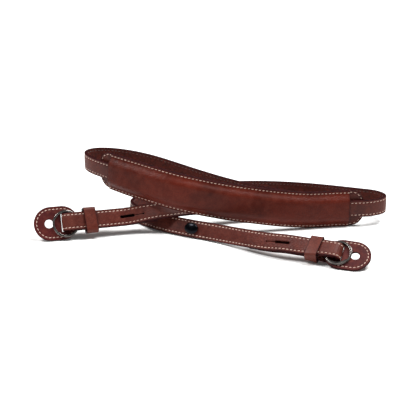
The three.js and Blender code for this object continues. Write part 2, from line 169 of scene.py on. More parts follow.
def eased(x, table, column, shifts):
    # what a table says, with its corners eased
    return np.mean([np.interp(x + shift, table[:, 0], table[:, column]) for shift in shifts], axis=0)


def centreLine(steps=40):
    # fine rows of x, y, z and lean from the left crest to the right one, with their distances
    start, stop = (onRun(side, np.array([ends[side]["run"]])) for side in ("left", "right"))
    rows = np.vstack([start, np.array(route), stop])
    knots = distances(rows[:, :3])
    first = np.r_[runDirection(ends["left"]), 0]
    last = np.r_[runDirection(ends["right"]), 0]
    slopes = splineSlopes(knots, rows, first, last)
    u = (np.arange(steps) / steps)[:, None]
    curve = [
        (2 * u**3 - 3 * u**2 + 1) * rows[i] + (3 * u**2 - 2 * u**3) * rows[i + 1]
        + (knots[i + 1] - knots[i]) * ((u**3 - 2 * u**2 + u) * slopes[i] + (u**3 - u**2) * slopes[i + 1])
        for i in range(len(rows) - 1)
    ]
    step = strap["lineStep"]
    left = onRun("left", np.arange(0, ends["left"]["run"], step))
    right = onRun("right", np.arange(ends["right"]["run"], -1e-9, -step))
    fine = np.vstack([left, *curve, right])
    return fine, distances(fine[:, :3])


lineRows, lineAt = centreLine()
lineLength = lineAt[-1]


def linePlaces(s):
    # the line runs straight on beyond its two ends
    inside = np.clip(s, 0, lineLength)
    place = between(inside, lineAt, lineRows)
    beyond = np.where(s < 0, -1.0, 1.0)[:, None] * np.abs(s - inside)[:, None]
    ahead = np.where((s < 0)[:, None], runDirection(ends["left"]), runDirection(ends["right"]))
    return place + beyond * ahead


def framesAt(s):
    # at each place p of the line: along it t, across it w, out of its good side n
    s = np.atleast_1d(np.asarray(s, float))
    t = unit(linePlaces(s + 0.0008) - linePlaces(s - 0.0008))
    lean = np.radians(np.interp(s, lineAt, lineRows[:, 3]))[:, None]
    upright = unit(np.array([0, 0, 1.0]) - t * t[:, 2:])
    w = upright * np.cos(lean) + np.cross(upright, t) * np.sin(lean)
    return {"s": s, "p": linePlaces(s), "t": t, "w": w, "n": np.cross(t, w)}


def fromCrest(side, away):
    return away if side == "left" else lineLength - away


def foldPath(side):
    # from the tail's end, round the fold and back along the run: points and directions across
    radius = (layers[0, 1] - layers[0, 2]) / 2
    middle = (layers[0, 1] + layers[0, 2]) / 2
    start = strap["foldStart"]
    tail = np.linspace(ends[side]["tail"], start, 130)
    back = np.linspace(start, strap["layered"], 70)
    shifts = np.linspace(-easing, easing, 9) * mm
    parts = []
    for away, column in ((tail, 2), (back, 1)):
        base = framesAt(fromCrest(side, away))
        heights = eased(np.maximum(away, start + easing * mm), layers, column, shifts)
        parts.append((base["p"] + base["n"] * heights[:, None], base["w"]))
    centre = framesAt(fromCrest(side, start))
    out = centre["t"][0] * -ends[side]["inward"]
    turn = np.linspace(0, math.pi, 26)[1:-1, None]
    bend = centre["p"] + centre["n"] * (middle - radius * np.cos(turn)) + out * radius * np.sin(turn)
    across = np.repeat(centre["w"], len(bend), axis=0)
    return np.vstack([parts[0][0], bend, parts[1][0]]), np.vstack([parts[0][1], across, parts[1][1]])


def strapPath():
    # the whole strap from one tail to the other, evenly sampled
    pointsLeft, acrossLeft = foldPath("left")
    pointsRight, acrossRight = foldPath("right")
    first = strap["layered"] + strap["lineStep"]
    middle = framesAt(np.arange(first, lineLength - strap["layered"], strap["lineStep"]))
    points = np.vstack([pointsLeft, middle["p"], pointsRight[::-1]])
    across = np.vstack([acrossLeft, middle["w"], acrossRight[::-1]])
    at = distances(points)
    origin = at[len(pointsLeft)] - first  # the strap's own distance where the line's is nought
    return {"at": at, "points": points, "across": across, "origin": origin, "length": at[-1]}


path = strapPath()


def strapFrames(at):
    # as framesAt, but at distances along the strap itself, tails and folds included
    at = np.atleast_1d(np.asarray(at, float))
    inside = np.clip(at, 0, path["length"])
    ahead = np.clip(inside + 0.0007, 0, path["length"])
    behind = np.clip(inside - 0.0007, 0, path["length"])
    t = unit(between(ahead, path["at"], path["points"]) - between(behind, path["at"], path["points"]))
    w = between(inside, path["at"], path["across"])
    w = unit(w - t * np.sum(t * w, axis=1)[:, None])
    p = between(inside, path["at"], path["points"])
    return {"s": inside, "p": p, "t": t, "w": w, "n": np.cross(t, w)}


print(f"strap line {lineLength:.3f} m between crests, {path['length']:.3f} m with its tails")


def arc(x, y, radius, angles):
    return [(x + radius * math.cos(a), y + radius * math.sin(a)) for a in angles]


def addObject(name, data):
    made = bpy.data.objects.new(name, data)
    bpy.context.scene.collection.objects.link(made)
    return made


def faceOutward(mesh):
    shell = bmesh.new()
    shell.from_mesh(mesh)
    bmesh.ops.recalc_face_normals(shell, faces=shell.faces)
    shell.to_mesh(mesh)
    shell.free()


def makePiece(name, points, faces, layersOfData, outward=True):
    mesh = bpy.data.meshes.new(name)
    mesh.from_pydata(np.asarray(points).tolist(), [], faces)
    for key, values in layersOfData.items():
        values = np.asarray(values, np.float32)
        kind, field = ("FLOAT_VECTOR", "vector") if values.ndim == 2 else ("FLOAT", "value")
        mesh.attributes.new(key, kind, "POINT").data.foreach_set(field, values.ravel())
    if outward:
        faceOutward(mesh)
    mesh.shade_smooth()
    return addObject(name, mesh)


def roundedDrop(distance, radius):
    inside = np.clip(distance, 0, radius)
    return radius - np.sqrt(radius**2 - (radius - inside) ** 2)


def grooveDrop(distance, leather, width=0.00035):
    return leather["groove"] * np.exp(-(((distance - leather["stitchInset"]) / width) ** 2))


def acrossFrom(halves, leather, fill):
    # positions across for each half width, from edge to edge, closer over each rounding and groove
    groove = leather["stitchInset"] + np.array([-0.75, -0.42, -0.2, 0, 0.2, 0.42, 0.75]) * mm
    outer = halves[:, None] - np.r_[roundingShares * leather["edgeRadius"], groove]
    inner = outer[:, -1:] * np.linspace(1, 0, fill + 1)[1:]
    half = np.hstack([outer, inner])
    return np.hstack([-half, half[:, -2::-1]])


def bandPiece(name, frames, across, top, low, inFrom, seam=0.0, more=None):
    # a leather strip: its outer face, one wall, its back face and the other wall, all round
    wall = np.array([0.28, 0, -0.28])
    high, deep = top[:, -1:], low[:, -1:]
    right = (high + deep) / 2 + (high - deep) / 2 * wall
    sunk = np.array([0, seam, 0])
    xs = np.hstack([across, across[:, -1:] - sunk, across[:, ::-1], across[:, :1] + sunk])
    ys = np.hstack([top, right, low[:, ::-1], right[:, ::-1]])
    count, around = xs.shape
    p, w, n = (frames[key][:, None] for key in "pwn")
    points = (p + w * xs[..., None] + n * ys[..., None]).reshape(-1, 3)
    near = 1 - smoothStep(inFrom, 0.0001, 0.0008)
    walls = np.ones((count, 3))
    edge = np.hstack([near, walls, near[:, ::-1], walls])
    zero = np.zeros_like(across)
    flesh = np.hstack([zero, walls * 0.5, zero + 1, walls * 0.5])
    place = np.stack([np.repeat(frames["s"][:, None], around, axis=1), xs, ys], axis=2).reshape(-1, 3)
    at = np.arange(count * around).reshape(count, around)
    a, b = at[:-1], np.roll(at, -1, axis=1)[:-1]
    c, d = np.roll(at, -1, axis=1)[1:], at[1:]
    faces = np.stack([a, b, c, d], axis=2).reshape(-1, 4).tolist()
    faces += [at[0].tolist(), at[-1][::-1].tolist()]
    data = {"place": place, "edge": edge.ravel(), "flesh": flesh.ravel()}
    for key, values in (more or {}).items():
        data[key] = np.repeat(values[:, None], around, axis=1).ravel()
    return makePiece(name, points, faces, data)


def stationsFor(start, stop, leather):
    # even stations, closer over the rounding at both ends
    radius, count = leather["edgeRadius"], int((stop - start) / leather["spacing"])
    ladder = roundingShares * radius
    body = np.linspace(start + radius, stop - radius, count + 2)[1:-1]
    return np.r_[start + ladder, body, stop - ladder[::-1]]


def softNoise(at, across, wave, waves=14):
    # a smooth unevenness, about -1 to 1, the sum of plain waves in many directions
    rng = np.random.default_rng(wave["seed"])
    u, v = at * wave["along"], across * wave["across"]
    total = np.zeros(np.broadcast(u, v).shape)
    for _ in range(waves):
        first, second = rng.uniform(0.4, 1.6), rng.uniform(-1, 1)
        phase, weight = rng.uniform(0, 6.3), rng.uniform(0.4, 1)
        total += weight * np.sin(u * first + v * second + phase)
    return total / waves * 1.6


slot = {
    "length": 0.011,
    "width": 0.0022,
    "slit": 0.0005,  # width of the slit that runs on from the slot
    "end": 0.0006,  # radius of the round hole that ends the slit
    "stud": 0.00205,  # radius of the hole for a stud's neck
    "depth": 0.0032,  # the cutters reach this far to both sides of the strap's middle
}


def fasteningOutline(end):
    # the slot, the slit and its end hole as one outline, from the slot's middle
    radius, slit = slot["width"] / 2, slot["slit"] / 2
    middle = slot["length"] / 2 - radius  # of the round ends of the slot
    meet = middle + math.sqrt(radius**2 - slit**2)
    turn = np.linspace(-math.pi / 2, math.pi / 2, 11)
    opening = 0.43  # radians left open on each side where the slit runs into its end hole
    tip = np.linspace(math.pi - opening, opening - math.pi, 13)
    outline = arc(-middle, 0, radius, math.pi - turn)
    outline += arc(middle, 0, radius, [a for a in turn[:4:-1] if a > 0.3])
    outline += [(meet, slit), *arc(end["slitEnd"] - end["slot"], 0, slot["end"], tip), (meet, -slit)]
    return outline + arc(middle, 0, radius, [a for a in turn[::-1] if a < -0.3])


def cutSlots(piece):
    # the studs' holes and the fastening slots
    hole = arc(0, 0, slot["stud"], np.linspace(0, 2 * math.pi, 25)[:-1])
    cutters = []
    for side, end in ends.items():
        for away, outline in ((end["stud"], hole), (end["slot"], fasteningOutline(end))):
            base = framesAt(fromCrest(side, away))
            t, w, n, p = (base[key][0] for key in "twnp")
            flat = [p + t * x * end["inward"] + w * y for x, y in outline]
            points = [q + n * slot["depth"] for q in flat] + [q - n * slot["depth"] for q in flat]
            count = len(outline)
            faces = [list(range(count)), list(range(2 * count - 1, count - 1, -1))]
            faces += [[i, i + count, (i + 1) % count + count, (i + 1) % count] for i in range(count)]
            data = {"edge": np.ones(2 * count), "flesh": np.full(2 * count, 0.5)}
            cutters.append(makePiece(f"slot_cutter_{len(cutters)}", points, faces, data))
    for cutter in cutters:
        cut = piece.modifiers.new("slot", "BOOLEAN")
        cut.operation, cut.solver, cut.object = "DIFFERENCE", "EXACT", cutter
    settle(piece)
    for cutter in cutters:
        bpy.data.objects.remove(cutter)


def settle(piece):
    # the modifiers' result becomes the piece's own plain mesh
    evaluated = piece.evaluated_get(bpy.context.evaluated_depsgraph_get())
    mesh = bpy.data.meshes.new_from_object(evaluated)
    piece.modifiers.clear()
    old, name = piece.data, piece.data.name
    piece.data = mesh
    bpy.data.meshes.remove(old)
    mesh.name = name


def bentness(points):
    # how sharply a path turns, from 0 on a straight to 1 in a tight loop
    step = np.linalg.norm(np.diff(points, axis=0), axis=1)
    t = unit(np.diff(points, axis=0))
    turn = np.linalg.norm(np.diff(t, axis=0), axis=1) / np.maximum((step[1:] + step[:-1]) / 2, 1e-6)
    turn = np.r_[turn[:1], turn, turn[-1:]]
    return np.clip(np.convolve(turn, np.ones(9) / 9, "same") / 110, 0, 1)


def makeStrap():
    half, thick = strap["width"] / 2, strap["thickness"] / 2
    at = stationsFor(0, path["length"], strap)
    frames = strapFrames(at)
    across = acrossFrom(np.full(len(at), half), strap, 3)
    inFrom = np.minimum(half - np.abs(across), np.minimum(at, path["length"] - at)[:, None])
    drop = roundedDrop(inFrom, strap["edgeRadius"])
    groove = grooveDrop(half - np.abs(across), strap)
    crown = strap["crown"] * np.cos(across / half * math.pi / 2)
    wave = strap["wave"]["height"] * softNoise(at[:, None], across, strap["wave"])
    piece = bandPiece(
        "strap_leather_band", frames, across, thick - drop - groove + crown + wave,
        -thick + drop + groove * 0.6, inFrom, strap["seam"], {"bend": bentness(frames["p"])},
    )
    cutSlots(piece)
    return piece


pad = {
    "from": 0.4052,
    "to": 0.6136,
    "half": 0.01395,
    "corner": 0.010,
    "cover": 0.011,  # bare length of the backing beyond each end of the outer leather
    "stitchInset": 0.0015,
    "edgeRadius": 0.0005,
    "groove": 0.00022,
    "backTop": -0.00165,
    "backLow": -0.003,
    "leather": 0.0018,
    "flange": -0.0001,  # height of the outer leather where it is sewn down
    "spacing": 0.0009,  # between sections of the outer leather
    "ripple": {"height": 0.00016, "along": 1500, "across": 700, "seed": 21},  # on the upper left shoulder
    "swell": {"height": 0.00014, "along": 120, "across": 160, "seed": 8},
    "pinch": {"depth": 0.00025, "reach": 0.004},  # drawn down at both ends
}

# half section of the pad's outer leather over the strap: distance across, height
coverSection = np.array([
    (0, 3.62), (2, 3.6), (3.8, 3.56), (5.2, 3.5), (6.4, 3.36), (7.4, 3.02), (8.4, 2.42), (9.3, 1.66),
    (10.1, 0.9), (10.8, 0.35), (11.5, 0.05), (12.3, -0.08), (13.95, -0.12),
]) * mm


def makePadCover():
    start, stop = pad["from"] + pad["cover"], pad["to"] - pad["cover"]
    at = stationsFor(start, stop, pad)
    across = acrossFrom(np.full(len(at), pad["half"]), pad, 20)
    fromEnd = np.minimum(at - start, stop - at)[:, None]
    fromSide = pad["half"] - np.abs(across)
    inFrom = np.minimum(fromSide, fromEnd)
    section = eased(np.abs(across), coverSection, 1, np.linspace(-0.5, 0.5, 7) * mm)
    drop = roundedDrop(inFrom, pad["edgeRadius"])
    groove = grooveDrop(fromSide, pad)
    u = at[:, None]
    loose = smoothStep(np.abs(across), 0.004, 0.008) * smoothStep(fromSide, 0.0028, 0.0045)
    shoulder = smoothStep(across, 0.0035, 0.0065) * loose * (1 - smoothStep(u, start + 0.06, start + 0.1))
    ripple = pad["ripple"]["height"] * shoulder * softNoise(u, across, pad["ripple"])
    raised = smoothStep(fromSide, 0.003, 0.006)
    swell = pad["swell"]["height"] * raised * softNoise(u, across, pad["swell"])
    pinch = pad["pinch"]["depth"] * np.exp(-((fromEnd / pad["pinch"]["reach"]) ** 2)) * raised
    top = section - drop - groove + ripple + swell - pinch
    low = np.maximum(section - pad["leather"], pad["backTop"] + 0.00006) + drop
    return bandPiece("pad_cover_leather", framesAt(at), across, top, low, inFrom)


def cornerDistance(at, across):
    # distance in from the outline of the backing, whose corners are rounded
    middle = (pad["from"] + pad["to"]) / 2
    length = (pad["to"] - pad["from"]) / 2
    du = np.abs(at - middle) - (length - pad["corner"])
    dv = np.abs(across) - (pad["half"] - pad["corner"])
    outside = np.hypot(np.maximum(du, 0), np.maximum(dv, 0)) + np.minimum(np.maximum(du, dv), 0)
    return pad["corner"] - outside


def makePadBacking():
    ladder = np.r_[0, 0.02, 0.1, 0.25, 0.5, 0.9, 1.5, 2.3, 3.2, 4.3, 5.6, 7, 8.5] * mm
    body = np.linspace(pad["from"] + pad["corner"], pad["to"] - pad["corner"], 110)
    at = np.r_[pad["from"] + ladder, body, (pad["to"] - ladder)[::-1]]
    inside = np.minimum(np.minimum(at - pad["from"], pad["to"] - at), pad["corner"])
    halves = pad["half"] - pad["corner"] + np.sqrt(pad["corner"] ** 2 - (pad["corner"] - inside) ** 2)
    across = acrossFrom(halves, pad, 4)
    inFrom = np.maximum(cornerDistance(at[:, None], across), 0)
    drop = roundedDrop(inFrom, pad["edgeRadius"])
    groove = grooveDrop(inFrom, pad)
    top, low = pad["backTop"] - drop - groove, pad["backLow"] + drop + groove
    return bandPiece("pad_backing_leather", framesAt(at), across, top, low, inFrom)


# corners of a rectangle: the signs of their two distances, and the degrees that their arcs start at
corners = ((1, 1, 0), (-1, 1, 90), (-1, -1, 180), (1, -1, 270))

keeper = {
    "length": 0.009, "width": {"left": 0.0186, "right": 0.0170}, "wall": 0.0014,
    "skew": {"left": 0.0014, "right": 0.0022},  # how much nearer the crest the top stands
    "over": 0.35, "under": 0.55,  # air above and below the layers, in millimetres
    "corner": 0.0022, "inner": 0.0009,  # radii of its outer and inner corners
    "edge": 0.0004, "bow": 0.00018,
}


def makeKeeper(side):
    start = ends[side]["keeper"] - keeper["length"] / 2
    ladder = np.array([0, 0.08, 0.3, 0.6, 1]) * keeper["edge"]
    at = np.r_[ladder, np.linspace(0, keeper["length"], 9)[1:-1], keeper["length"] - ladder[::-1]]
    drops = roundedDrop(np.minimum(at, keeper["length"] - at), keeper["edge"])
    base = framesAt(fromCrest(side, start + at))
    thick = strap["thickness"] / 2
    lift = np.interp(start + at, layers[:, 0], layers[:, 1])
    sink = np.interp(start + at, layers[:, 0], layers[:, 2])
    high = lift + thick + keeper["over"] * mm + keeper["wall"]
    deep = sink - thick - keeper["under"] * mm - keeper["wall"]
    half = keeper["width"][side] / 2
    way = -ends[side]["inward"]
    turns = np.radians(np.linspace(0, 90, 7))
    points, place, edge, flesh = [], [], [], []
    for i, drop in enumerate(drops):
        for wall in (0, 1):
            radius = keeper["inner"] if wall else keeper["corner"]
            inset = keeper["wall"] - drop if wall else drop
            x, top, bottom = half - inset, high[i] - inset, deep[i] + inset
            section = []
            for sx, sy, first in corners:
                y = top - radius if sy > 0 else bottom + radius
                section += arc(sx * (x - radius), y, radius, turns + math.radians(first))
                if first in (0, 180):  # a soft bow between the corners of the wide faces
                    for share in (0.2, 0.4, 0.6, 0.8):
                        bow = keeper["bow"] * math.sin(share * math.pi) * sy
                        level = (top if sy > 0 else bottom) + bow
                        section.append((sx * (x - radius) * (1 - 2 * share), level))
            section = np.array(section)
            lead = way * keeper["skew"][side] / 2 * section[:, :1] / half
            t, w, n, p = (base[key][i] for key in "twnp")
            points.append(p + w * section[:, :1] + n * section[:, 1:] + t * lead)
            place.append(np.column_stack([np.full(len(section), start + at[i]), section]))
            rim = 1 - smoothStep(np.minimum(at[i], keeper["length"] - at[i]), 0.0001, 0.0006)
            edge.append(np.full(len(section), rim))
            flesh.append(np.full(len(section), float(wall)))
    count = len(points[0])
    rows = np.arange(len(at) * 2 * count).reshape(len(at), 2, count)
    around = np.roll(rows, -1, axis=2)
    quads = [np.stack([rows[:-1, k], around[:-1, k], around[1:, k], rows[1:, k]], axis=2) for k in (0, 1)]
    quads += [np.stack([rows[i, 0], around[i, 0], around[i, 1], rows[i, 1]], axis=1)[None] for i in (0, -1)]
    faces = [face for quad in quads for face in quad.reshape(-1, 4).tolist()]
    data = {"place": np.vstack(place), "edge": np.concatenate(edge), "flesh": np.concatenate(flesh)}
    return makePiece(f"keeper_loop_{side}", np.vstack(points), faces, data)


def crestFrame(side):
    # out beyond the crest, across the strap, out of its good side
    base = framesAt(fromCrest(side, 0.0))
    sign = -ends[side]["inward"]
    return base["p"][0], base["t"][0] * sign, base["w"][0] * sign, base["n"][0]


def crestMatrix(side):
    p, out, across, n = crestFrame(side)
    return Matrix([(out[k], across[k], n[k], p[k]) for k in range(3)] + [(0, 0, 0, 1)])


flap = {
    "width": 0.0248,
    "tip": 0.0204,  # outboard end, from the crest
    "back": 0.0126,  # inboard end, from the crest
    "thickness": 0.0016,
    "top": -0.0028,  # level of its outer face
    "hole": 0.0031,  # radius of the lug hole
    "holeAt": 0.0093,
    # the strap's slot: its inboard and outboard edge, from the crest, and its half length across
    "slot": {"left": (-0.00425, 0.00022, 0.0066), "right": (-0.00425, 0.00004, 0.0066)},
    "slotCorner": 0.0006,
    "stitchInset": 0.0021,
    "groove": 0.0002,
    "edgeRadius": 0.0005,
}


def flapOutline(inset, steps=28):
    # a stadium, its two arcs about centres on the flap's middle line
    radius = flap["width"] / 2 - inset
    out, back = flap["tip"] - flap["width"] / 2, flap["width"] / 2 - flap["back"]
    turn = np.linspace(-math.pi / 2, math.pi / 2, steps)
    upper = np.column_stack([np.linspace(out, back, 8)[1:-1], np.full(6, radius)])
    first, second = arc(out, 0, radius, turn), arc(back, 0, radius, turn + math.pi)
    return np.vstack([first, upper, second, upper[::-1] * (1, -1)])


def makeFlap(side):
    radius, low = flap["edgeRadius"], flap["top"] - flap["thickness"]
    inboard, outboard, half = flap["slot"][side]
    corner = flap["slotCorner"]
    mesh = bmesh.new()
    edgeLayer = mesh.verts.layers.float.new("edge")
    fleshLayer = mesh.verts.layers.float.new("flesh")

    def addRing(outline, height, edge, flesh):
        loop = [mesh.verts.new((x, y, height)) for x, y in outline]
        for vertex in loop:
            vertex[edgeLayer], vertex[fleshLayer] = edge, flesh
        return loop

    def holeOutline(grow):
        return arc(flap["holeAt"], 0, flap["hole"] + grow, np.linspace(0, 2 * math.pi, 41)[:-1])

    def slotOutline(grow):
        points = []
        for sx, sy, first in corners:
            x, y = (outboard if sx > 0 else inboard) - sx * corner, sy * (half - corner)
            points += arc(x, y, corner + grow, np.radians(np.linspace(first, first + 90, 5)))
        return points

    # rows in from each cut edge: how far in, how far down, how much of the edge's paint
    rows = []
    for share, edge in zip(roundingShares, (1.0, 0.95, 0.7, 0.35, 0.1)):
        rows.append((share * radius, roundedDrop(np.array(share * radius), radius), edge))
    rows.append((radius + 0.0003, 0, 0))
    grooveRows = []
    for away, share in ((-0.7, 0), (-0.35, 0.35), (0, 1), (0.35, 0.35), (0.7, 0)):
        grooveRows.append((flap["stitchInset"] + away * mm, flap["groove"] * share, 0))
    borders = []
    for outline, ownRows in ((flapOutline, rows + grooveRows), (holeOutline, rows), (slotOutline, rows)):
        rings = []
        for face, sign, flesh in ((flap["top"], -1, 0.0), (low, 1, 1.0)):
            rings.append([addRing(outline(inset), face + sign * float(drop), edge, flesh)
                          for inset, drop, edge in ownRows])
        loops = rings[0][::-1] + rings[1]
        for first, second in zip(loops, loops[1:]):
            count = len(first)
            for i in range(count):
                mesh.faces.new((first[i], first[(i + 1) % count], second[(i + 1) % count], second[i]))
        borders.append((loops[0], loops[-1]))
    for face in (0, 1):
        edges = []
        for border in borders:
            loop = border[face]
            for i, vertex in enumerate(loop):
                edges.append(mesh.edges.get((vertex, loop[(i + 1) % len(loop)])))
        bmesh.ops.triangle_fill(mesh, edges=edges, use_beauty=True, use_dissolve=False)
    bmesh.ops.recalc_face_normals(mesh, faces=mesh.faces)
    data = bpy.data.meshes.new(f"flap_leather_{side}")
    mesh.to_mesh(data)
    mesh.free()
    data.transform(crestMatrix(side))
    data.shade_smooth()
    return addObject(data.name, data)


# back plate, neck and domed head of a stud: radius, height
studProfile = np.array([
    (0, -2.6), (3.3, -2.6), (3.75, -2.5), (3.95, -2.3), (4, -2), (3.95, -1.7), (3.7, -1.6), (1.7, -1.6),
    (1.7, 1.6), (4.3, 1.62), (5, 1.75), (5.35, 1.98), (5.5, 2.25), (5.5, 2.5), (5.38, 2.8),
    (5.1, 3.12), (4.6, 3.44), (3.85, 3.74), (2.95, 3.98), (1.95, 4.15), (1, 4.24), (0, 4.27),
]) * mm
headOval = 0.75  # the head's width across the strap, by its width along it


def makeStud(side, sides=48):
    base = framesAt(fromCrest(side, ends[side]["stud"]))
    t, w, n, p = (base[key][0] for key in "twnp")
    turn = np.linspace(0, 2 * math.pi, sides + 1)[:-1]
    points, faces = [p + n * studProfile[0, 1]], []
    for radius, height in studProfile[1:-1]:
        oval = headOval if height > 1.55 * mm else 1
        for a in turn:
            points.append(p + t * radius * math.cos(a) + w * radius * math.sin(a) * oval + n * height)
    points.append(p + n * studProfile[-1, 1])
    rows = len(studProfile) - 2
    for i in range(sides):
        j = (i + 1) % sides
        faces.append([0, 1 + j, 1 + i])
        for row in range(rows - 1):
            a = 1 + row * sides
            faces.append([a + i, a + j, a + sides + j, a + sides + i])
        last = 1 + (rows - 1) * sides
        faces.append([last + i, last + j, len(points) - 1])
    return makePiece(f"stud_{side}", points, faces, {})


def node(tree, kind, inputs=None, **settings):
    # inputs may be plain values, sockets, or nodes, whose first output is then taken
    made = tree.nodes.new(kind)
    for key, value in settings.items():
        setattr(made, key, value)
    for key, value in (inputs or {}).items():
        if isinstance(value, bpy.types.Node):
            value = value.outputs[0]
        if isinstance(value, bpy.types.NodeSocket):
            tree.links.new(value, made.inputs[key])
        else:
            made.inputs[key].default_value = value
    return made


def maths(tree, operation, *values):
    return node(tree, "ShaderNodeMath", dict(enumerate(values)), operation=operation)


def ranged(tree, value, low, high, least=0.0, most=1.0, easing="LINEAR"):
    # what the value is between low and high, spread from least to most
    limits = {"Value": value, "From Min": low, "From Max": high, "To Min": least, "To Max": most}
    return node(tree, "ShaderNodeMapRange", limits, interpolation_type=easing)


def newTree(name, **sockets):
    # the names of its inputs are given in lists, a list for each kind of socket
    tree = bpy.data.node_groups.new(name, "GeometryNodeTree")
    tree.interface.new_socket("Geometry", in_out="INPUT", socket_type="NodeSocketGeometry")
    for kind, labels in sockets.items():
        for label in labels:
            tree.interface.new_socket(label, in_out="INPUT", socket_type=f"NodeSocket{kind}")
    tree.interface.new_socket("Geometry", in_out="OUTPUT", socket_type="NodeSocketGeometry")
    return tree, node(tree, "NodeGroupInput").outputs


def swept(tree, curve, profile):
    sockets = {"Curve": curve, "Profile Curve": profile, "Fill Caps": True}
    tube = node(tree, "GeometryNodeCurveToMesh", sockets)
    return node(tree, "GeometryNodeSetShadeSmooth", {"Geometry": tube})


def finishTree(tree, geometry, material):
    real = node(tree, "GeometryNodeRealizeInstances", {"Geometry": geometry})
    finished = node(tree, "GeometryNodeSetMaterial", {"Geometry": real, "Material": material})
    node(tree, "NodeGroupOutput", {0: finished})
    return tree


def growPiece(name, points, edges, tree, values, outward=None):
    # the tree's result on these points and edges becomes the plain mesh of a new piece
    mesh = bpy.data.meshes.new(name)
    mesh.from_pydata(points, edges, [])
    if outward is not None:
        mesh.attributes.new("outward", "FLOAT_VECTOR", "POINT").data.foreach_set("vector", np.ravel(outward))
    piece = addObject(name, mesh)
    grown = piece.modifiers.new(tree.name, "NODES")
    grown.node_group = tree
    for item in tree.interface.items_tree:
        if item.name in values:
            grown[item.identifier] = values[item.name]
    settle(piece)
    return piece


def stitchTree():
    # saddle stitches along lines whose points hold the way out of the leather
    tree, given = newTree("stitches", Float=["Pitch", "Length", "Thread", "Arch", "Slant"],
                          Int=["Seed"], Material=["Material"])
    wire = node(tree, "GeometryNodeMeshToCurve", {"Mesh": given["Geometry"]})
    spots = node(tree, "GeometryNodeResampleCurve", {"Curve": wire, "Length": given["Pitch"]},
                 mode="LENGTH")
    sunk = maths(tree, "MULTIPLY", given["Thread"], -0.75)
    start, stop = (
        node(tree, "ShaderNodeCombineXYZ", {0: maths(tree, "MULTIPLY", given["Length"], share), 2: sunk})
        for share in (-0.5, 0.5)
    )
    middle = node(tree, "ShaderNodeCombineXYZ", {2: given["Arch"]})
    bow = node(tree, "GeometryNodeCurveQuadraticBezier",
               {"Resolution": 5, "Start": start, "Middle": middle, "End": stop})
    radius = maths(tree, "MULTIPLY", given["Thread"], 0.5)
    circle = node(tree, "GeometryNodeCurvePrimitiveCircle", {"Resolution": 6, "Radius": radius})
    smooth = swept(tree, bow, circle)
    spot = node(tree, "GeometryNodeInputPosition")
    plied = node(tree, "GeometryNodeStoreNamedAttribute",
                 {"Geometry": smooth, "Name": "ply", "Value": spot},
                 data_type="FLOAT_VECTOR", domain="POINT")
    outward = node(tree, "GeometryNodeInputNamedAttribute", {"Name": "outward"}, data_type="FLOAT_VECTOR")
    tangent = node(tree, "GeometryNodeInputTangent")
    aligned = node(tree, "FunctionNodeAxesToRotation", {0: outward, 1: tangent},
                   primary_axis="Z", secondary_axis="X")
    jitter, size = (
        node(tree, "FunctionNodeRandomValue", {2: least, 3: most, "Seed": given["Seed"]},
             data_type="FLOAT").outputs[1]
        for least, most in ((-0.05, 0.05), (0.94, 1.05))
    )
    angle = maths(tree, "ADD", given["Slant"], jitter)
    slant = node(tree, "FunctionNodeAxisAngleToRotation", {0: (0, 0, 1), 1: angle})
    turned = node(tree, "FunctionNodeRotateRotation", {0: aligned, 1: slant},
                  rotation_space="LOCAL")
    placed = node(tree, "GeometryNodeInstanceOnPoints",
                  {"Points": spots, "Instance": plied,
                   "Rotation": turned, "Scale": size})
    return finishTree(tree, placed, given["Material"])


stitch = {
    "Pitch": 0.0028, "Length": 0.0019,
    "Thread": 0.00064,  # its thickness
    "Arch": 0.00038,  # how far a stitch's middle stands out
    "Slant": 0.14,
}


def stitchRun(name, lines, material, seed, tree):
    points, outward, edges = [], [], []
    for places, normals, closed in lines:
        first = len(points)
        points += places.tolist()
        outward += normals.tolist()
        edges += [(i, i + 1) for i in range(first, len(points) - 1)]
        if closed:
            edges.append((len(points) - 1, first))
    return growPiece(name, points, edges, tree, {**stitch, "Seed": seed, "Material": material}, outward)


def bandLine(frames, across, height, good=True):
    across, height = (np.broadcast_to(value, len(frames["s"])) for value in (across, height))
    places = frames["p"] + frames["w"] * across[:, None] + frames["n"] * height[:, None]
    return places, frames["n"] * (1 if good else -1), False


def strapStitches(good):
    # a row along each edge of the strap, which leaves out what the pad hides
    half, thick = strap["width"] / 2, strap["thickness"] / 2
    height = thick - strap["groove"] * 0.6 if good else -thick + strap["groove"] * 0.3
    cover = pad["cover"] if good else 0
    hidden = (pad["from"] + cover + 0.001, pad["to"] - cover - 0.001)
    margin = 0.0025  # from each end of the strap
    stretches = [(margin, path["origin"] + hidden[0]), (path["origin"] + hidden[1], path["length"] - margin)]
    lines = []
    for start, stop in stretches:
        frames = strapFrames(np.arange(start, stop, 0.001))
        lines += [bandLine(frames, sign * (half - strap["stitchInset"]), height, good) for sign in (1, -1)]
    return lines


def padCorner(end, way, sign, turn):
    # an arc of the seam round one corner: distances along and across
    radius = pad["corner"] - pad["stitchInset"]
    return (end + way * (pad["corner"] - radius * np.cos(turn)),
            sign * (pad["half"] - pad["corner"] + radius * np.sin(turn)))


def padStitches():
    # along both sides of the outer leather, and round the bare corners of the backing
    lines = []
    margin = pad["cover"] + 0.0012
    long = framesAt(np.arange(pad["from"] + margin, pad["to"] - margin, 0.001))
    turn = np.linspace(math.radians(24), math.pi / 2, 24)
    for sign in (1, -1):
        side, level = sign * (pad["half"] - pad["stitchInset"]), pad["flange"] - pad["groove"] * 0.6
        lines.append(bandLine(long, side, level))
        for end, way in ((pad["from"], 1), (pad["to"], -1)):
            at, across = padCorner(end, way, sign, turn)
            lines.append(bandLine(framesAt(at), across, pad["backTop"] - pad["groove"] * 0.5))
    return lines


